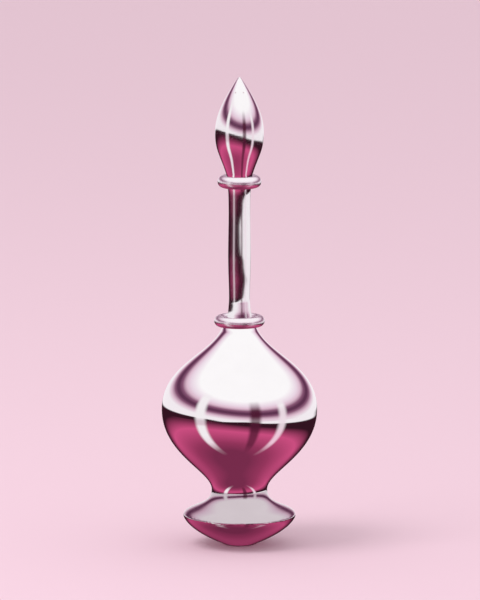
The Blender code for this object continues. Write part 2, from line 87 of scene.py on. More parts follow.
def noise(tree, place, scale, detail, distortion=0.0):
    """Cloudy noise over a place, between 0 and 1."""
    return node(tree, "ShaderNodeTexNoise", {"Vector": place, "Scale": scale, "Detail": detail,
                                             "Distortion": distortion}).outputs["Fac"]


def mixed(tree, cover, under, over):
    """Lay one colour over another, by how far it covers it."""
    return node(tree, "ShaderNodeMix", {"Factor": cover, "A": under, "B": over},
                data_type="RGBA").outputs["Result"]


def worked_out(tree, operation, *terms):
    """The outcome of a sum, whose terms are numbers or outputs."""
    return node(tree, "ShaderNodeMath", dict(enumerate(terms)), operation=operation).outputs[0]


def embossed(tree, height, depth, strength=1.0, over=None):
    """Emboss a height into a finish, over what is embossed in it already."""
    sockets = {"Height": height, "Strength": strength, "Distance": depth}
    if over:
        sockets["Normal"] = over
    return node(tree, "ShaderNodeBump", sockets).outputs["Normal"]


def new_finish(name):
    """Start a named material: its tree, its shader and the place on the piece."""
    material = bpy.data.materials.new(name)
    material.use_nodes = True
    tree = material.node_tree
    place = node(tree, "ShaderNodeTexCoord", {}).outputs["Object"]
    return material, tree, tree.nodes["Principled BSDF"], place


def spun(outline):
    """Spin an outline of (radius, height) points into a closed shape.

    An outline that starts on the axis ends on it too, and isn't joined up along it.
    """
    shape = bmesh.new()
    points = [shape.verts.new((radius, 0.0, height)) for radius, height in outline]
    edges = [shape.edges.new(pair) for pair in zip(points, points[1:])]
    if outline[0][0] > 0.0:
        edges.append(shape.edges.new((points[-1], points[0])))
    bmesh.ops.spin(shape, geom=points + edges, cent=(0, 0, 0), axis=(0, 0, 1),
                   angle=tau, steps=SPIN_STEPS, use_merge=True)
    bmesh.ops.remove_doubles(shape, verts=shape.verts, dist=WELD)
    bmesh.ops.recalc_face_normals(shape, faces=shape.faces)
    return shape


def round_off(shape, width, top=inf):
    """Round the sharp rings of a shape, up to a height."""
    rings = [edge for edge in shape.edges
             if edge.is_manifold and edge.calc_face_angle() > CREASE
             and all(vert.co.z <= top for vert in edge.verts)]
    bmesh.ops.bevel(shape, geom=rings, offset=width, segments=EDGE_SEGMENTS, profile=0.5,
                    affect="EDGES", material=-1)


def mounted(name, shape, materials, body, cad_node):
    """Make a named piece of a shape, riding on its body in place of a CAD node.

    Mirroring silver looks past the piece to the studio.
    """
    mesh = bpy.data.meshes.new(name)
    shape.to_mesh(mesh)
    shape.free()
    for material in materials:
        mesh.materials.append(material)
    mesh.shade_smooth()
    mesh.set_sharp_from_angle(angle=CREASE)
    piece = bpy.data.objects.new(name, mesh)
    bpy.context.collection.objects.link(piece)
    piece.visible_glossy = False
    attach(piece, body)
    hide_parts(cad_node)


def wool_felt():
    """Matted fibres: fine tangled noise over a mottled ground, with a nap."""
    material, tree, shader, place = new_finish("wool_felt")
    fibre = noise(tree, place, scale=2600.0, detail=6.0, distortion=3.0)
    mottle = worked_out(tree, "MULTIPLY", noise(tree, place, scale=320.0, detail=3.0), FELT_MOTTLE)
    tint = mixed(tree, fibre, FELT_COLOUR, FELT_FIBRE)
    feed(tree, shader, {"Base Color": mixed(tree, mottle, tint, FELT_COLOUR),
                        "Normal": embossed(tree, fibre, FELT_NAP_DEPTH, FELT_NAP_STRENGTH),
                        "Roughness": FELT_ROUGHNESS, "Sheen Weight": FELT_SHEEN})
    return material


pad_low, pad_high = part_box("base_pad")
pad = spun([(0.0, pad_low.z), (pad_high.x, pad_low.z), (pad_high.x, pad_high.z), (0.0, pad_high.z)])
round_off(pad, FELT_EDGE)
mounted("felt_pad", pad, [wool_felt()], "vessel", "base_pad")


# Foot underside: a dished shell of sheet metal, spun over a chuck and silvered. Its
# recess takes the felt, and its rim is soldered and burnished to the top of the foot,
# so that only an uneven line shows. Its silver is painted darker than the flask's, as
# painted shade on the downward face.
WAIST_RADIUS = 0.01645
SEAM_CLOSING = 0.00015
FOOT_WALL = 0.0012
PAD_LAND_WIDTH = 0.0011
RECESS_CLEARANCE = 0.0001
SPANNER_HOLE_RADIUS = 0.00677
EDGE_ROUND = 0.00015
CURVE_STEPS = 48
UNDERSIDE_SHARES = (0.82, 0.475, 0.955, 0.82)
FOOT_TOP_SHARES = (0.15, 0.35, 1.00, 0.34)
RIM_EASE = 0.0017
RIM_STEPS = 12
RIM_GROWTH = 0.0008
RIM_LINE_HALF = 0.0016
RIM_RELIEF = 0.0007
WAVE_RELIEF = 0.00003
HAIRLINE_CLOSENESS = 22.0
HAIRLINE_SPREAD = (0.35, 0.75)
# Painted shade: the underside's silver is darker than the flask's.
UNDERSIDE_SILVER_PAINTED_SHADE = (0.775, 0.760, 0.765, 1.0)
UNDERSIDE_SHADE = (0.705, 0.675, 0.690, 1.0)
WIPED = (0.08, 0.14)


def swept(start, end, shares, steps=CURVE_STEPS):
    """Points of a cubic curve whose handles are shares of its width and height."""
    width = end[0] - start[0]
    height = end[1] - start[1]
    first = (start[0] + width * shares[0], start[1] + height * shares[1])
    second = (start[0] + width * shares[2], start[1] + height * shares[3])
    corners = (start, first, second, end)
    points = []
    for step in range(steps + 1):
        way = step / steps
        weights = ((1 - way) ** 3, 3 * way * (1 - way) ** 2, 3 * way ** 2 * (1 - way), way ** 3)
        points.append(tuple(sum(weight * corner[axis] for weight, corner in zip(weights, corners))
                            for axis in (0, 1)))
    return points


def inset(points, wall):
    """Move a rising outline towards the axis by a wall's thickness."""
    moved = []
    for index, (radius, height) in enumerate(points):
        before = points[max(index - 1, 0)]
        after = points[min(index + 1, len(points) - 1)]
        run = Vector((after[0] - before[0], after[1] - before[1])).normalized()
        moved.append((radius - wall * run.y, height + wall * run.x))
    return moved


def eased(lower, upper, reach):
    """Round the corner where one rising outline meets the next, half of it in each."""
    corner = Vector(upper[0])
    lower = [point for point in lower if (Vector(point) - corner).length > reach]
    upper = [point for point in upper if (Vector(point) - corner).length > reach]
    curve = []
    for step in range(2 * RIM_STEPS + 1):
        way = step / (2 * RIM_STEPS)
        curve.append(tuple(Vector(lower[-1]) * (1 - way) ** 2 + corner * 2 * way * (1 - way)
                           + Vector(upper[0]) * way ** 2))
    return lower + curve[1:RIM_STEPS + 1], curve[RIM_STEPS:-1] + upper


def above(points, height):
    """The points of an outline over a height."""
    return [point for point in points if point[1] > height]


def squeezed(tree, place, closeness):
    """Squeeze a place along the axis, so that marks on it run round the piece."""
    return node(tree, "ShaderNodeMapping",
                {"Vector": place, "Scale": (1.0, 1.0, closeness)}).outputs["Vector"]


def ranged(tree, value, source, target=(0.0, 1.0), **settings):
    """Bring a value from one range to another, and hold it at the ends."""
    return node(tree, "ShaderNodeMapRange", {
        "Value": value, "From Min": source[0], "From Max": source[1],
        "To Min": target[0], "To Max": target[1]}, **settings).outputs["Result"]


def polished_silver(name, bright, shade, roughness, seam=None, lean=None, drawn=0.0):
    """Silver plate, buffed bright: wiping marks, faint waves and hairlines.

    Roughness is its least and its most. A seam is a height at which a burnished joint
    breaks the mirror up. A lean tips the reflections downwards, and drawn marks along
    a tube smear them round it.
    """
    material, tree, shader, place = new_finish(name)
    cloud = noise(tree, place, scale=60.0, detail=4.0)
    hairs = noise(tree, squeezed(tree, place, HAIRLINE_CLOSENESS), scale=180.0, detail=5.0)
    height = node(tree, "ShaderNodeSeparateXYZ", {"Vector": place}).outputs["Z"]
    relief = embossed(tree, noise(tree, place, scale=45.0, detail=1.0), WAVE_RELIEF)
    if lean:
        relief = embossed(tree, height, lean, over=relief)
    if seam:
        apart = worked_out(tree, "ABSOLUTE", worked_out(tree, "SUBTRACT", height, seam))
        line = ranged(tree, apart, (RIM_LINE_HALF, 0.0), interpolation_type="SMOOTHSTEP")
        dents = noise(tree, place, scale=220.0, detail=2.0)
        relief = embossed(tree, worked_out(tree, "MULTIPLY", dents, line), RIM_RELIEF, over=relief)
    feed(tree, shader, {"Base Color": mixed(tree, cloud, bright, shade), "Metallic": 1.0,
                        "Roughness": ranged(tree, hairs, HAIRLINE_SPREAD, roughness),
                        "Normal": relief, "Anisotropic": drawn})
    return material


underside_low, underside_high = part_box("foot_bowl")
rim_radius = underside_high.x + RIM_GROWTH
rim_height = underside_high.z + SEAM_CLOSING
recess_radius = pad_high.x + RECESS_CLEARANCE
foot_floor = pad_high.z + FOOT_WALL
foot_top_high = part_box("foot_cone")[1]
waist_height = foot_top_high.z + SEAM_CLOSING
underside, foot_top = eased(
    swept((recess_radius + PAD_LAND_WIDTH, underside_low.z), (rim_radius, rim_height), UNDERSIDE_SHARES),
    swept((rim_radius, rim_height), (WAIST_RADIUS, waist_height), FOOT_TOP_SHARES), RIM_EASE)
foot_inside = above(inset(underside, FOOT_WALL), foot_floor)
foot_shell = spun([(SPANNER_HOLE_RADIUS, pad_high.z), (recess_radius, pad_high.z),
                   (recess_radius, underside_low.z)]
                  + underside + foot_inside[::-1]
                  + [(foot_inside[0][0], foot_floor), (SPANNER_HOLE_RADIUS, foot_floor)])
round_off(foot_shell, EDGE_ROUND, top=foot_floor)
# The underside's silver, painted darker as painted shade.
underside_painted_shade_silver = polished_silver("underside_painted_shade", UNDERSIDE_SILVER_PAINTED_SHADE, UNDERSIDE_SHADE, WIPED,
                               seam=rim_height)
mounted("foot_underside", foot_shell, [underside_painted_shade_silver], "vessel", "foot_bowl")


# Foot top: a second spun shell, which sweeps up from the rim to the waist and closes
# with a flat plate that the flask is bolted down on. It is rougher than the flask, and
# its silver is painted darker as painted shade under the flask.
BOSS_HOLE_RADIUS = 0.0063
# Painted shade: the foot top's silver is much darker than the flask's.
FOOT_SILVER_PAINTED_SHADE = (0.620, 0.550, 0.580, 1.0)
FOOT_SHADE = (0.570, 0.500, 0.530, 1.0)
HANDLED = (0.10, 0.17)


def below(points, height):
    """The points of an outline under a height."""
    return [point for point in points if point[1] < height]


plate_height = foot_top_high.z - FOOT_WALL
top_inside = below(inset(foot_top, FOOT_WALL), plate_height)
# Rougher silver, painted darker as painted shade under the flask.
foot_top_painted_shade = polished_silver("foot_top_painted_shade", FOOT_SILVER_PAINTED_SHADE, FOOT_SHADE, HANDLED, seam=rim_height)
mounted("foot_top",
        spun(foot_top + [(BOSS_HOLE_RADIUS, waist_height), (BOSS_HOLE_RADIUS, plate_height),
                         (top_inside[-1][0], plate_height)] + top_inside[::-1]),
        [foot_top_painted_shade], "vessel", "foot_cone")


# Works inside the foot: a rough iron casting, and the plain steel bolt, washer and
# spacer that clamp the flask down through the brass boss under it. The foot hides them,
# so the turned solids stay as they are and take their own finishes.
IRON = (0.055, 0.053, 0.052, 1.0)
IRON_RUST = (0.110, 0.055, 0.035, 1.0)
IRON_GRAIN_DEPTH = 0.0002
STEEL = (0.52, 0.52, 0.53, 1.0)
STEEL_DULL = (0.36, 0.36, 0.37, 1.0)
STEEL_GRAIN_DEPTH = 0.00003
BRASS = (0.760, 0.560, 0.250, 1.0)
BRASS_DULL = (0.560, 0.380, 0.150, 1.0)
BRASS_GRAIN_DEPTH = 0.00002
GRAIN_STRENGTH = 0.6
PATCH_SPREAD = (0.42, 0.68)
SMOOTHEST_SHARE = 0.7
ROUGHEST_SHARE = 1.4


def bare_metal(name, bright, dull, roughness, closeness, depth):
    """Unplated metal with dull patches and the grain of its casting or its turning.

    Its grain lies closer along the axis than round it, by the closeness.
    """
    material, tree, shader, place = new_finish(name)
    patches = ranged(tree, noise(tree, place, scale=220.0, detail=5.0), PATCH_SPREAD)
    grain = noise(tree, squeezed(tree, place, closeness), scale=700.0, detail=4.0)
    wear = ranged(tree, grain, (0.0, 1.0), (roughness * SMOOTHEST_SHARE, roughness * ROUGHEST_SHARE))
    feed(tree, shader, {"Base Color": mixed(tree, patches, bright, dull), "Roughness": wear,
                        "Normal": embossed(tree, grain, depth, GRAIN_STRENGTH), "Metallic": 1.0})
    return material


iron = bare_metal("foundry_iron", IRON, IRON_RUST, roughness=0.60, closeness=1.0, depth=IRON_GRAIN_DEPTH)
steel = bare_metal("plain_steel", STEEL, STEEL_DULL, roughness=0.34, closeness=9.0, depth=STEEL_GRAIN_DEPTH)
brass = bare_metal("turned_brass", BRASS, BRASS_DULL, roughness=0.20, closeness=14.0,
                   depth=BRASS_GRAIN_DEPTH)
for cad_name, metal in (("foot_weight", iron), ("tie_bolt", steel), ("tie_washer", steel),
                        ("spacer_tube", steel), ("bottom_boss", brass)):
    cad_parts[cad_name].visible_glossy = False
    for material_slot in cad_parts[cad_name].material_slots:
        material_slot.material = metal


# Flask: two spun shells that meet at the belly, where the lower one's lip stands inside
# the upper one. The seam is burnished out, and the inside is dull tin, painted dark as
# painted shade inside the shells. The collar on top is rolled in over the mouth's flange.
BODY_WALL = 0.0010
BODY_LIP_HEIGHT = 0.0025
LIP_THICKNESS = 0.0008
LIP_CLEARANCE = 0.0003
BODY_STEPS = 72
BOWL_SHARES = (0.00, 0.235, 1.00, 0.45)
SHOULDER_SHARES = (0.00, 0.53, 0.79, 0.67)
COLLAR_HEIGHT = 0.0007
COLLAR_RADIUS = 0.0107
COLLAR_TOP_RADIUS = 0.0096
COLLAR_EDGE = 0.00012
MOUTH_FLANGE_RADIUS = 0.00905
MOUTH_FLANGE_THICKNESS = 0.0010
SNUG_CLEARANCE = 0.00003
LEVEL_ENOUGH = 0.99
SILVER = (0.930, 0.915, 0.920, 1.0)
SILVER_SHADE = (0.880, 0.860, 0.865, 1.0)
BUFFED = (0.025, 0.050)
# Dull tin, painted darker as painted shade inside the shells.
TIN_PAINTED_SHADE = (0.34, 0.32, 0.33, 1.0)
TINNED_DULL = (0.20, 0.18, 0.19, 1.0)
TINNED_GRAIN_DEPTH = 0.00004


def radius_at(points, height):
    """Radius of a rising outline at a height."""
    for here, there in zip(points, points[1:]):
        if here[1] <= height <= there[1]:
            share = (height - here[1]) / (there[1] - here[1])
            return here[0] + share * (there[0] - here[0])
    return points[-1][0]


def line_inside(shape, open_side):
    """Give a shell's inner faces its second material. It opens upwards (1) or downwards (-1)."""
    for face in shape.faces:
        middle = face.calc_center_median()
        towards_axis = face.normal.x * middle.x + face.normal.y * middle.y < -WELD
        if towards_axis or face.normal.z * open_side > LEVEL_ENOUGH:
            face.material_index = 1


silver = polished_silver("mirror_silver", SILVER, SILVER_SHADE, BUFFED)
# The shells' dull tin lining, darkened as painted shade inside them.
tin_lining_painted_shade = bare_metal("tinned_inside_painted_shade", TIN_PAINTED_SHADE, TINNED_DULL, roughness=0.42, closeness=3.0,
                    depth=TINNED_GRAIN_DEPTH)
bowl_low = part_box("body_bowl")[0]
shoulder_low, shoulder_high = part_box("body_shoulder")
mouth_low, mouth_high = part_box("mouth_socket")
belly_radius = shoulder_high.x
belly_height = shoulder_low.z - SEAM_CLOSING
bowl_bottom = bowl_low.z - SEAM_CLOSING
body_floor = bowl_bottom + BODY_WALL
collar_bottom = shoulder_high.z - COLLAR_HEIGHT
bowl = swept((WAIST_RADIUS, bowl_bottom), (belly_radius, belly_height), BOWL_SHARES, BODY_STEPS)
shoulder = swept((belly_radius, belly_height), (COLLAR_RADIUS, collar_bottom), SHOULDER_SHARES, BODY_STEPS)
shoulder_inside = inset(shoulder, BODY_WALL)
bowl_inside = below(above(inset(bowl, BODY_WALL), body_floor), belly_height - 2 * BODY_LIP_HEIGHT)
lip_top = belly_height + BODY_LIP_HEIGHT
lip_radius = radius_at(shoulder_inside, lip_top) - LIP_CLEARANCE
lip_inside = lip_radius - LIP_THICKNESS
bowl_shell = spun([(0.0, bowl_bottom)] + bowl
                  + [(lip_radius, belly_height), (lip_radius, lip_top), (lip_inside, lip_top),
                     (lip_inside, belly_height - BODY_LIP_HEIGHT)]
                  + bowl_inside[::-1] + [(bowl_inside[0][0], body_floor), (0.0, body_floor)])
line_inside(bowl_shell, 1)
mounted("flask_bowl", bowl_shell, [silver, tin_lining_painted_shade], "vessel", "body_bowl")

flange_bottom = mouth_high.z - MOUTH_FLANGE_THICKNESS
flange_seat = flange_bottom - SNUG_CLEARANCE
flange_bore = MOUTH_FLANGE_RADIUS + SNUG_CLEARANCE
shoulder_shell = spun(shoulder
                      + [(COLLAR_TOP_RADIUS, mouth_high.z - COLLAR_EDGE),
                         (COLLAR_TOP_RADIUS - COLLAR_EDGE, mouth_high.z), (flange_bore, mouth_high.z),
                         (flange_bore, flange_seat), (COLLAR_RADIUS - BODY_WALL, flange_seat)]
                      + shoulder_inside[::-1])
line_inside(shoulder_shell, -1)
mounted("flask_shoulder", shoulder_shell, [silver, tin_lining_painted_shade], "vessel", "body_shoulder")


# Mouth: a turned brass bush, soldered into the collar, with a right-handed female
# thread. The neck screws into it, and the flask is filled through it.
THREAD_STEPS = 48
THREAD_ROOT_SHARE = 0.26
THREAD_CREST_SHARE = 0.13
THREAD_SINK = 0.0003
THREAD_CLEARANCE = 0.0003
RUN_OUT_TURN = 0.22
RUN_OUT_REST_SHARE = 0.001
NECK_PITCH = 0.0025
NECK_THREAD_RADIUS = 0.0074
NECK_THREAD_DEPTH = 0.0009
MOUTH_WALL = 0.0010
BRASS_EDGE = 0.0002


def ridge(root, crest, start, turns, pitch):
    """Wind a right-handed thread, sunk into its root and run out at both ends."""
    sunk = root - THREAD_SINK if root < crest else root + THREAD_SINK
    root_half = pitch * THREAD_ROOT_SHARE
    crest_half = pitch * THREAD_CREST_SHARE
    steps = round(turns * THREAD_STEPS)
    turns = steps / THREAD_STEPS
    shape = bmesh.new()
    corners = [shape.verts.new((radius, 0.0, start + rise)) for radius, rise in (
        (sunk, -root_half), (crest, -crest_half), (crest, crest_half), (sunk, root_half))]
    section = shape.faces.new(corners)
    shape.faces.new([shape.verts.new(corner.co) for corner in corners])
    bmesh.ops.spin(shape, geom=[section], cent=(0, 0, 0), axis=(0, 0, 1), angle=turns * tau,
                   dvec=(0, 0, turns * pitch / steps), steps=steps, use_merge=False)
    bmesh.ops.remove_doubles(shape, verts=shape.verts, dist=WELD)
    for vert in shape.verts:
        radius = vert.co.xy.length
        if abs(radius - crest) < WELD:
            bearing = atan2(vert.co.y, vert.co.x) / tau
            turn = round((vert.co.z - start) / pitch - bearing) + bearing
            full = max(0.0, min(1.0, turn / RUN_OUT_TURN, (turns - turn) / RUN_OUT_TURN))
            vert.co.xy *= (sunk + (crest - sunk) * full * (1 - RUN_OUT_REST_SHARE)
                           + (root - sunk) * RUN_OUT_REST_SHARE) / radius
    bmesh.ops.recalc_face_normals(shape, faces=shape.faces)
    return shape


def combined(shape, tool, operation):
    """Join a closed shape to another, or cut it with the other."""
    blanks = []
    for part in (shape, tool):
        mesh = bpy.data.meshes.new("blank")
        part.to_mesh(mesh)
        part.free()
        blanks.append(bpy.data.objects.new("blank", mesh))
        bpy.context.collection.objects.link(blanks[-1])
    boolean = blanks[0].modifiers.new("boolean", "BOOLEAN")
    boolean.object = blanks[1]
    boolean.operation = operation
    boolean.solver = "EXACT"
    made = bmesh.new()
    made.from_object(blanks[0], bpy.context.evaluated_depsgraph_get())
    for blank in blanks:
        bpy.data.meshes.remove(blank.data)
    return made


spigot_low, spigot_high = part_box("neck_spigot")
neck_root = NECK_THREAD_RADIUS - NECK_THREAD_DEPTH
neck_thread_start = spigot_low.z + NECK_PITCH / 2
mouth_root = NECK_THREAD_RADIUS + THREAD_CLEARANCE
mouth_crest = mouth_root - NECK_THREAD_DEPTH
mouth_turns = (mouth_high.z - mouth_low.z - NECK_PITCH) / NECK_PITCH
mouth_thread = ridge(mouth_root, mouth_crest, neck_thread_start - NECK_PITCH / 2, mouth_turns, NECK_PITCH)
bush = spun([(mouth_root, mouth_low.z), (mouth_root + MOUTH_WALL, mouth_low.z),
             (mouth_root + MOUTH_WALL, flange_bottom), (MOUTH_FLANGE_RADIUS, flange_bottom),
             (MOUTH_FLANGE_RADIUS, mouth_high.z), (mouth_root, mouth_high.z)])
round_off(bush, BRASS_EDGE)
bush = combined(bush, mouth_thread, "UNION")
mounted("mouth_bush", bush, [brass], "vessel", "mouth_socket")


# Neck washer: a ring of red-brown rubber, cut from sheet, that seals the mouth. It stays
# on the spigot when the neck is unscrewed.
NECK_WASHER_BORE = 0.0069
RUBBER_EDGE = 0.00022
RUBBER = (0.115, 0.045, 0.036, 1.0)
RUBBER_BLOOM = (0.200, 0.120, 0.105, 1.0)
RUBBER_ROUGHNESS = 0.72
BLOOM_SPREAD = (0.45, 0.75)
BLOOM_DEPTH = 0.00008
BLOOM_STRENGTH = 0.5


def washer_rubber():
    """Soft rubber with a pale bloom and fine moulded grain."""
    material, tree, shader, place = new_finish("washer_rubber")
    bloom = noise(tree, place, scale=900.0, detail=5.0)
    feed(tree, shader, {"Base Color": mixed(tree, ranged(tree, bloom, BLOOM_SPREAD), RUBBER, RUBBER_BLOOM),
                        "Normal": embossed(tree, bloom, BLOOM_DEPTH, BLOOM_STRENGTH),
                        "Roughness": RUBBER_ROUGHNESS})
    return material


def washer(name, cad_node, bore, body):
    """A flat rubber ring with softened edges, as tall and as wide as its CAD node."""
    low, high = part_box(cad_node)
    ring = spun([(bore, low.z), (high.x, low.z), (high.x, high.z), (bore, high.z)])
    round_off(ring, RUBBER_EDGE)
    mounted(name, ring, [rubber], body, cad_node)


rubber = washer_rubber()
washer("mouth_seal", "neck_washer", NECK_WASHER_BORE, "neck_seal")


# Neck spigot: turned brass, sleeved and soldered into the foot of the tube, with the
# male thread that the neck is screwed down by.
SLEEVE_WALL = 0.0008
SLEEVE_RADIUS = 0.0050
TUBE_BASE_RADIUS = 0.0072
tube_low, tube_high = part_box("neck_tube")
spigot_shoulder = tube_low.z - THREAD_CLEARANCE
neck_turns = (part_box("neck_washer")[0].z - THREAD_CLEARANCE - spigot_low.z - NECK_PITCH) / NECK_PITCH
neck_thread = ridge(neck_root, NECK_THREAD_RADIUS, neck_thread_start, neck_turns, NECK_PITCH)
spigot = spun([(SLEEVE_RADIUS - SLEEVE_WALL, spigot_low.z), (neck_root, spigot_low.z),
               (neck_root, spigot_shoulder), (SLEEVE_RADIUS, spigot_shoulder),
               (SLEEVE_RADIUS, spigot_high.z), (SLEEVE_RADIUS - SLEEVE_WALL, spigot_high.z)])
round_off(spigot, BRASS_EDGE)
spigot = combined(spigot, neck_thread, "UNION")
mounted("neck_spigot_screw", spigot, [brass], "neck", "neck_spigot")


# Neck tube: silver tube, drawn over a mandrel, which swells and thins slowly along its
# length and flares where it meets the rings at its two ends.
TUBE_BORE_RADIUS = 0.0053
TUBE_SPAN_STEPS = 6
# Heights, as shares of the tube's length, each with the tube's radius there.
TUBE_SIDE = ((0.0433, 0.00720), (0.0609, 0.00697), (0.0738, 0.00681), (0.0925, 0.006635), (0.143, 0.00629),
             (0.161, 0.00618), (0.19, 0.00615), (0.27, 0.00628), (0.354, 0.00652), (0.446, 0.00666),
             (0.493, 0.00668), (0.61, 0.00655), (0.75, 0.00638), (0.85, 0.00644), (0.905, 0.00654),
             (0.93, 0.00667), (0.955, 0.00690), (1.0, 0.00695))
DRAWING_LEAN = 0.034
DRAWN = (0.12, 0.16)


def flowing(knots, steps):
    """A smooth line through knots of (height, radius), as (radius, height) points."""
    slopes = []
    for index in range(len(knots)):
        before = knots[max(index - 1, 0)]
        after = knots[min(index + 1, len(knots) - 1)]
        slopes.append((after[1] - before[1]) / (after[0] - before[0]))
    points = []
    for low, high, slope, next_slope in zip(knots, knots[1:], slopes, slopes[1:]):
        span = high[0] - low[0]
        for step in range(steps):
            way = step / steps
            radius = ((2 * way ** 3 - 3 * way ** 2 + 1) * low[1]
                      + (way ** 3 - 2 * way ** 2 + way) * span * slope
                      + (3 * way ** 2 - 2 * way ** 3) * high[1]
                      + (way ** 3 - way ** 2) * span * next_slope)
            points.append((radius, low[0] + way * span))
    return points + [(knots[-1][1], knots[-1][0])]


tube_length = tube_high.z - tube_low.z
tube_side = flowing([(tube_low.z + share * tube_length, radius) for share, radius in TUBE_SIDE],
                    TUBE_SPAN_STEPS)
drawn_silver = polished_silver("drawn_silver", SILVER, SILVER_SHADE, DRAWN, lean=DRAWING_LEAN, drawn=1.0)
mounted("drawn_tube",
        spun([(TUBE_BASE_RADIUS, tube_low.z)] + tube_side
             + [(TUBE_BORE_RADIUS, tube_high.z), (TUBE_BORE_RADIUS, tube_low.z)]),
        [drawn_silver], "neck", "neck_tube")


# Shoulder ring: a round silver bead, hollowed under to sit over the washer, whose web
# is soldered round the foot of the tube with a smooth fillet.
SHOULDER_BEAD = 0.00315
SHOULDER_BEAD_SHARE = 0.476
SHOULDER_WEB_SHARE = 0.67
RING_SAG = 0.0003
WEB_GAP = 0.00005
FILLET_HEIGHT = 0.0003
FILLET_SHARES = (0.55, 0.0, 0.9, 0.4)
FILLET_STEPS = 8
BEAD_STEPS = 40
# Painted reflection: the rings' silver and its shade are tinted rose, for the rosy parts round them.
SATIN_SILVER_PAINTED_REFLECTION = (0.925, 0.880, 0.905, 1.0)
SATIN_SHADE = (0.870, 0.800, 0.840, 1.0)
SATIN = (0.26, 0.34)


def bead(radius, height, size, start, end):
    """Points of a round bead's section, by angle from the outward direction."""
    angles = [start + (end - start) * step / BEAD_STEPS for step in range(BEAD_STEPS + 1)]
    return [(radius + size * cos(angle), height + size * sin(angle)) for angle in angles]


# Ring silver, tinted rose as a painted reflection of its neighbours.
ring_silver_painted_reflection = polished_silver("ring_silver_painted_reflection", SATIN_SILVER_PAINTED_REFLECTION, SATIN_SHADE, SATIN)
ring_low, ring_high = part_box("shoulder_ring")
ring_radius = ring_high.x - SHOULDER_BEAD
ring_height = ring_low.z + SHOULDER_BEAD - RING_SAG
ring_bore = TUBE_BASE_RADIUS + WEB_GAP
counterbore_radius = ring_radius - SHOULDER_BEAD * SHOULDER_BEAD_SHARE
web_top = ring_height + SHOULDER_BEAD * SHOULDER_WEB_SHARE
inward = pi - atan2(SHOULDER_WEB_SHARE, (1 - SHOULDER_WEB_SHARE ** 2) ** 0.5)
under = -pi + atan2((1 - SHOULDER_BEAD_SHARE ** 2) ** 0.5, SHOULDER_BEAD_SHARE)
ring_outline = bead(ring_radius, ring_height, SHOULDER_BEAD, under, inward)
fillet = swept(ring_outline[-1], (ring_bore, web_top + FILLET_HEIGHT), FILLET_SHARES, FILLET_STEPS)
mounted("shoulder_bead",
        spun(ring_outline + fillet[1:] + [(ring_bore, tube_low.z), (counterbore_radius, tube_low.z)]),
        [ring_silver_painted_reflection], "neck", "shoulder_ring")


# Neck nipple: turned brass, sleeved into the top of the tube, with a flange across the
# tube's end and the male thread that carries the bud.
HEAD_PITCH = 0.0020
HEAD_THREAD_RADIUS = 0.0050
HEAD_THREAD_DEPTH = 0.0007
NIPPLE_WALL = 0.0010
TUBE_TOP_RADIUS = 0.00695
nipple_low, nipple_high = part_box("neck_nipple")
head_washer_low, head_washer_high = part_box("head_washer")
nipple_flange = tube_high.z + THREAD_CLEARANCE
head_seat = head_washer_low.z - THREAD_CLEARANCE
head_root = HEAD_THREAD_RADIUS - HEAD_THREAD_DEPTH
head_thread_start = head_washer_high.z + HEAD_PITCH / 2
nipple_turns = (nipple_high.z - head_thread_start - HEAD_PITCH / 2) / HEAD_PITCH
nipple_thread = ridge(head_root, HEAD_THREAD_RADIUS, head_thread_start, nipple_turns, HEAD_PITCH)
nipple = spun([(head_root - NIPPLE_WALL, nipple_low.z), (SLEEVE_RADIUS, nipple_low.z),
               (SLEEVE_RADIUS, nipple_flange), (TUBE_TOP_RADIUS, nipple_flange),
               (TUBE_TOP_RADIUS, head_seat), (head_root, head_seat), (head_root, nipple_high.z),
               (head_root - NIPPLE_WALL, nipple_high.z)])
round_off(nipple, BRASS_EDGE)
nipple = combined(nipple, nipple_thread, "UNION")
mounted("neck_nipple_screw", nipple, [brass], "neck", "neck_nipple")


# Collar ring: a round silver bead, soldered round the top of the tube and recessed for
# the bud's washer.
TOP_BEAD = 0.00355
TOP_BEAD_REACH = 0.0130
TOP_BEAD_DROP = 0.00155
TOP_RECESS_RADIUS = 0.00775
top_ring_radius = TOP_BEAD_REACH - TOP_BEAD
top_ring_height = head_seat - TOP_BEAD_DROP
top_ring_bore = TUBE_TOP_RADIUS + WEB_GAP
lower_inward = -pi + acos((top_ring_radius - top_ring_bore) / TOP_BEAD)
upper_inward = pi - acos((top_ring_radius - TOP_RECESS_RADIUS) / TOP_BEAD)
mounted("collar_bead",
        spun(bead(top_ring_radius, top_ring_height, TOP_BEAD, lower_inward, upper_inward)
             + [(TOP_RECESS_RADIUS, head_seat), (top_ring_bore, head_seat)]),
        [ring_silver_painted_reflection], "neck", "collar_ring")


# Head washer: a thin ring of the same rubber, which seals the bud. It is wide enough to
# pass over the nipple's thread, and rises with the bud.
HEAD_WASHER_BORE = 0.0054
washer("bud_seal", "head_washer", HEAD_WASHER_BORE, "head_seal")


# Head socket: turned brass, soldered into the base of the bud, with a flange that bears
# on the washer and the female thread that the bud is screwed down by.
HEAD_SOCKET_WALL = 0.0007
head_flange_low, head_socket_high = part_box("head_socket")
cup_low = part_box("head_cup")[0]
socket_root = HEAD_THREAD_RADIUS + THREAD_CLEARANCE
socket_crest = socket_root - HEAD_THREAD_DEPTH
socket_outside = socket_root + HEAD_SOCKET_WALL
socket_turns = (head_socket_high.z - head_thread_start - HEAD_PITCH) / HEAD_PITCH
socket_thread = ridge(socket_root, socket_crest, head_thread_start + HEAD_PITCH / 2,
                      socket_turns, HEAD_PITCH)
flange_radius = head_socket_high.x
flange_top = cup_low.z - THREAD_CLEARANCE
socket = spun([(socket_root, head_flange_low.z), (flange_radius, head_flange_low.z),
               (flange_radius, flange_top), (socket_outside, flange_top),
               (socket_outside, head_socket_high.z), (socket_root, head_socket_high.z)])
round_off(socket, BRASS_EDGE)
socket = combined(socket, socket_thread, "UNION")
mounted("bud_socket", socket, [brass], "head", "head_socket")


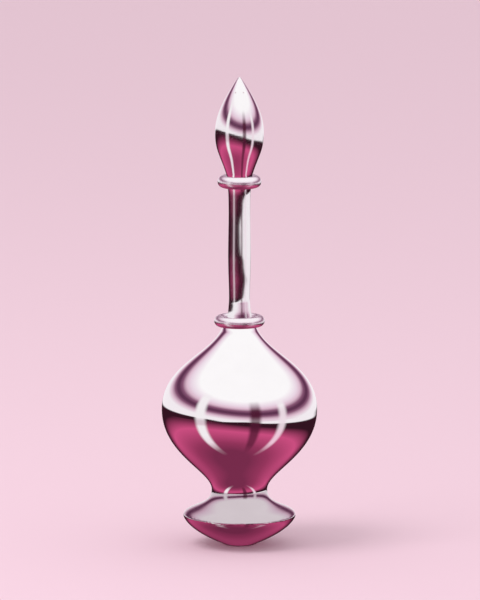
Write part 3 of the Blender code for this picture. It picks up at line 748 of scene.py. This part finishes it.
# Bud: a spun cup and a spun cone, joined by a lip inside. The cup's skirt hides the
# socket's flange, and the cone is closed at a blunt tip and drilled with eight fine
# spray holes near it.
BUD_RADIUS = 0.0144
BUD_WALL = 0.0009
BUD_LIP_HEIGHT = 0.0016
BUD_SEAM_DROP = 0.0008
BUD_BASE_RADIUS = 0.0077
SKIRT_RADIUS = 0.00750
SKIRT_DROP = 0.0013
CUP_SHARES = (0.60, 0.50, 1.00, 0.57)
CONE_SHARES = (0.00, 0.30, 0.30, 0.56)
TIP_RADIUS = 0.0010
TIP_STEPS = 8
SPRAY_HOLE_RADIUS = 0.0003
SPRAY_HOLE_COUNT = 8
SPRAY_HOLE_SHARE = 0.74
SPRAY_HOLE_SEGMENTS = 20
SLOPE_REACH = 0.0010
DRILL_OVERRUN = 0.001
SPINNING_LEAN = 0.022
SPUN = (0.08, 0.13)
bud_silver = polished_silver("spun_silver", SILVER, SILVER_SHADE, SPUN, lean=SPINNING_LEAN)
cone_low, cone_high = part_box("head_cone")
bud_seam = cone_low.z - BUD_SEAM_DROP
tip_height = TIP_RADIUS / 2
cup_side = swept((BUD_BASE_RADIUS, cup_low.z), (BUD_RADIUS, bud_seam), CUP_SHARES)
cone_side = swept((BUD_RADIUS, bud_seam), (TIP_RADIUS, cone_high.z - tip_height), CONE_SHARES)
cone_inside = [point for point in inset(cone_side, BUD_WALL) if point[0] > TIP_RADIUS]
bud_lip_top = bud_seam + BUD_LIP_HEIGHT
bud_lip_radius = radius_at(cone_inside, bud_lip_top) - LIP_CLEARANCE
bud_lip_inside = bud_lip_radius - LIP_THICKNESS
cup_inside = below(inset(cup_side, BUD_WALL), bud_seam - 2 * BUD_LIP_HEIGHT)
cup_bore = flange_radius + SNUG_CLEARANCE
cup_floor = cup_low.z - THREAD_CLEARANCE + SNUG_CLEARANCE
cup = spun([(SKIRT_RADIUS, cup_low.z - SKIRT_DROP)] + cup_side
           + [(bud_lip_radius, bud_seam), (bud_lip_radius, bud_lip_top), (bud_lip_inside, bud_lip_top),
              (bud_lip_inside, bud_seam - BUD_LIP_HEIGHT)]
           + cup_inside[::-1]
           + [(cup_inside[0][0], cup_floor), (cup_bore, cup_floor), (cup_bore, cup_low.z - SKIRT_DROP)])
line_inside(cup, 1)
mounted("bud_cup", cup, [bud_silver, tin_lining_painted_shade], "head", "head_cup")

tip_angles = [pi / 2 * step / TIP_STEPS for step in range(1, TIP_STEPS)]
tip_cap = [(TIP_RADIUS * cos(angle), cone_high.z - tip_height * (1 - sin(angle))) for angle in tip_angles]
cone = spun([(0.0, cone_high.z)] + tip_cap[::-1] + cone_side[::-1] + cone_inside
            + [(0.0, cone_inside[-1][1])])
hole_height = bud_seam + (cone_high.z - bud_seam) * SPRAY_HOLE_SHARE
hole_radius = radius_at(cone_side, hole_height)
narrowing = (radius_at(cone_side, hole_height - SLOPE_REACH)
             - radius_at(cone_side, hole_height + SLOPE_REACH))
slope = atan2(narrowing, 2 * SLOPE_REACH)
drills = bmesh.new()
for index in range(SPRAY_HOLE_COUNT):
    turn = Matrix.Rotation(tau * (index + 0.5) / SPRAY_HOLE_COUNT, 4, "Z")
    place = Matrix.Translation((hole_radius, 0.0, hole_height))
    tilt = Matrix.Rotation(pi / 2 - slope, 4, "Y")
    bmesh.ops.create_cone(drills, cap_ends=True, segments=SPRAY_HOLE_SEGMENTS, radius1=SPRAY_HOLE_RADIUS,
                          radius2=SPRAY_HOLE_RADIUS, depth=2 * (BUD_WALL + DRILL_OVERRUN),
                          matrix=turn @ place @ tilt)
cone = combined(cone, drills, "DIFFERENCE")
line_inside(cone, -1)
mounted("bud_cone", cone, [bud_silver, tin_lining_painted_shade], "head", "head_cone")


# Studio, as the silver mirrors it: a white sky, a mauve band over a dark skyline that is
# higher on the left, a rose ground that darkens underfoot, and four tall soft panels: dark
# ones behind and in front, a pale one left and a pink one right. Matt pieces see a white room.
SKYLINE = (-9.8, 5.4, -97.0)
GROUND_LINE = (-12.3, 7.2, -83.0)
BAND_MIDDLE = (13.2, 8.2, -125.0)
EDGE_SOFTNESS = radians(0.7)
SKY = (1.06, 1.05, 1.06)
BLUSH = (0.90, 0.75, 0.86)
LILAC = (0.78, 0.54, 0.67)
DUSK = (0.27, 0.105, 0.195)
MAUVE = (0.122, 0.037, 0.088)
HAZE = (0.97, 0.92, 0.96)
NIGHT = (0.036, 0.008, 0.017)
ROSE = (0.65, 0.085, 0.24)
DEEP_ROSE = (0.32, 0.040, 0.118)
PLUM = (0.20, 0.028, 0.080)
DRAPE = (0.080, 0.010, 0.032)
WHITE_PANEL = (0.98, 0.95, 0.97)
BLUSH_PANEL = (0.93, 0.80, 0.87)
PINK_PANEL = (0.95, 0.65, 0.79)
ROOM = (0.78, 0.78, 0.78, 1.0)
BACKDROP = (0.94, 0.66, 0.77, 1.0)

# Colours by angle over a line, in degrees, each with its strength.
GROUND = ((-90.0, PLUM, 1.0), (-62.0, PLUM, 1.0), (-45.0, DEEP_ROSE, 1.0), (-19.0, ROSE, 1.0),
          (-4.0, NIGHT, 1.0), (90.0, NIGHT, 1.0))
BAND = ((-16.0, HAZE, 1.0), (-10.5, LILAC, 1.0), (-5.0, DUSK, 1.0), (-1.5, MAUVE, 1.0), (1.5, MAUVE, 1.0),
        (6.0, DUSK, 1.0), (11.5, LILAC, 1.0), (17.0, BLUSH, 1.0), (28.0, SKY, 1.0))

# Panels: bearing, half width and softness in degrees, then colours by angle over the level.
DARK_BEHIND = (180.0, 24.0, 16.0, (
    (-66.0, NIGHT, 0.0), (-46.0, NIGHT, 0.22), (-30.0, NIGHT, 0.6), (-20.0, NIGHT, 0.95),
    (-9.5, NIGHT, 0.95), (-8.5, NIGHT, 0.0)))
DARK_IN_FRONT = (24.0, 8.0, 4.0, (
    (-76.0, DRAPE, 0.0), (-58.0, DRAPE, 0.68), (-36.0, DRAPE, 0.84), (-14.0, DRAPE, 0.94),
    (-8.0, DRAPE, 0.76), (2.0, DRAPE, 0.94), (14.0, DRAPE, 0.9), (24.0, DRAPE, 0.45), (36.0, DRAPE, 0.0)))
PALE_LEFT = (-60.5, 8.3, 4.0, (
    (-76.0, BLUSH_PANEL, 0.0), (-66.0, BLUSH_PANEL, 0.16), (-50.0, BLUSH_PANEL, 1.0),
    (-36.0, WHITE_PANEL, 1.0), (-20.0, WHITE_PANEL, 0.97), (-16.0, BLUSH_PANEL, 0.76),
    (-9.0, BLUSH_PANEL, 0.76), (-5.0, WHITE_PANEL, 1.0), (36.0, WHITE_PANEL, 1.0),
    (46.0, WHITE_PANEL, 0.0)))
PINK_RIGHT = (67.5, 6.0, 4.0, (
    (-76.0, PINK_PANEL, 0.0), (-66.0, PINK_PANEL, 0.2), (-50.0, PINK_PANEL, 0.95),
    (-34.0, PINK_PANEL, 1.0), (-18.0, BLUSH_PANEL, 0.9), (6.0, BLUSH_PANEL, 0.95),
    (18.0, WHITE_PANEL, 0.95), (32.0, WHITE_PANEL, 0.0)))

world = bpy.data.worlds.new("studio")
bpy.context.scene.world = world
world.use_nodes = True
studio = world.node_tree
ray = node(studio, "ShaderNodeTexCoord", {}).outputs["Generated"]
ray_x, ray_y, ray_z = node(studio, "ShaderNodeSeparateXYZ", {"Vector": ray}).outputs
towards_front = worked_out(studio, "MULTIPLY", ray_y, -1.0)
bearing = worked_out(studio, "ARCTAN2", ray_x, towards_front)
rise = worked_out(studio, "ARCSINE", ray_z)


def rise_over(level, swing, high_side):
    """Angle of a ray over a line whose height swings round the studio."""
    turned = worked_out(studio, "SUBTRACT", bearing, radians(high_side))
    wave = worked_out(studio, "COSINE", turned)
    line = worked_out(studio, "MULTIPLY_ADD", wave, radians(swing), radians(level))
    return worked_out(studio, "SUBTRACT", rise, line)


def shading(angle, stops):
    """Colours at angles in degrees, each with its strength, blended from one to the next."""
    low = stops[0][0]
    high = stops[-1][0]
    feeder = ranged(studio, angle, (radians(low), radians(high)))
    made = node(studio, "ShaderNodeValToRGB", {"Fac": feeder})
    elements = made.color_ramp.elements
    while len(elements) < len(stops):
        elements.new(1.0)
    for element, (degrees, colour, strength) in zip(elements, stops):
        element.position = (degrees - low) / (high - low)
        element.color = (*colour, strength)
    return made


def panel(under, side, half_width, soft, stops):
    """Stand a tall soft-edged panel at a bearing, over what is already there."""
    turn = worked_out(studio, "WRAP", worked_out(studio, "SUBTRACT", bearing, radians(side)), pi, -pi)
    across = ranged(studio, worked_out(studio, "ABSOLUTE", turn),
                    (radians(half_width - soft), radians(half_width + soft)), (1.0, 0.0),
                    interpolation_type="SMOOTHSTEP")
    tall = shading(rise, stops)
    cover = worked_out(studio, "MULTIPLY", across, tall.outputs["Alpha"])
    return mixed(studio, cover, under, tall.outputs["Color"])


skyline_edge = ranged(studio, rise_over(*SKYLINE), (-EDGE_SOFTNESS, EDGE_SOFTNESS),
                      interpolation_type="SMOOTHSTEP")
view = mixed(studio, skyline_edge, shading(rise_over(*GROUND_LINE), GROUND).outputs["Color"],
             shading(rise_over(*BAND_MIDDLE), BAND).outputs["Color"])
for side, half_width, soft, stops in (DARK_BEHIND, DARK_IN_FRONT, PALE_LEFT, PINK_RIGHT):
    view = panel(view, side, half_width, soft, stops)
paths = node(studio, "ShaderNodeLightPath", {})
plain = mixed(studio, paths.outputs["Is Camera Ray"], ROOM, BACKDROP)
seen = mixed(studio, paths.outputs["Is Glossy Ray"], plain, view)
feed(studio, studio.nodes["Background"], {"Color": seen})


# Table: a plain pale rose surface. It takes the sprinkler's soft shadow, and the silver
# looks past it to the studio's own ground.
TABLE_RADIUS = 30.0
TABLE_STEPS = 96
TABLE_ROUGHNESS = 0.9
table_shape = bmesh.new()
bmesh.ops.create_circle(table_shape, cap_ends=True, segments=TABLE_STEPS, radius=TABLE_RADIUS)
table_mesh = bpy.data.meshes.new("table_top")
table_shape.to_mesh(table_mesh)
table_shape.free()
table = bpy.data.objects.new("table_top", table_mesh)
bpy.context.collection.objects.link(table)
table.visible_glossy = False
table_finish, table_tree, table_shader = new_finish("table_finish")[:3]
feed(table_tree, table_shader, {"Base Color": BACKDROP, "Roughness": TABLE_ROUGHNESS})
table_mesh.materials.append(table_finish)


# Lamp: one large round soft box, high in front and on the left. Only matt surfaces take
# its light, and the silver mirrors the studio alone.
LAMP_WATTS = 14.0
LAMP_WIDTH = 1.2
LAMP_PLACE = Vector((-1.0, -0.6, 1.9))
lamp_data = bpy.data.lights.new("soft_box", "AREA")
lamp_data.shape = "DISK"
lamp_data.size = LAMP_WIDTH
lamp_data.energy = LAMP_WATTS
lamp = bpy.data.objects.new("soft_box", lamp_data)
bpy.context.collection.objects.link(lamp)
lamp.location = LAMP_PLACE
lamp.rotation_euler = (-LAMP_PLACE).to_track_quat("-Z", "Y").to_euler()
lamp.visible_glossy = False


# Camera: a long lens, well back and looking a little down. It is aimed so that the axis
# and the middle of the felt's underside stand at the photograph's own pixels.
METRES_PER_PIXEL = 0.0005923
FRAME_HEIGHT = 600
FRAME_CENTRE = (240.0, 300.0)
AXIS_PIXEL = 239.45
FOOT_PIXEL = 544.9
CAMERA_DISTANCE = 5.0
CAMERA_RISE = radians(9.0)
CAMERA_REACH = 100.0
camera_data = bpy.data.cameras.new("camera")
camera = bpy.data.objects.new("camera", camera_data)
bpy.context.collection.objects.link(camera)
camera_data.lens = camera_data.sensor_width * CAMERA_DISTANCE / (FRAME_HEIGHT * METRES_PER_PIXEL)
aim = Vector(((FRAME_CENTRE[0] - AXIS_PIXEL) * METRES_PER_PIXEL, 0.0,
              (FOOT_PIXEL - FRAME_CENTRE[1]) * METRES_PER_PIXEL / cos(CAMERA_RISE)))
back = Vector((0.0, -cos(CAMERA_RISE), sin(CAMERA_RISE)))
camera.location = aim + back * CAMERA_DISTANCE
camera.rotation_euler = (-back).to_track_quat("-Z", "Y").to_euler()
camera_data.clip_end = CAMERA_REACH
bpy.context.scene.camera = camera
bpy.context.scene.view_settings.view_transform = "Standard"
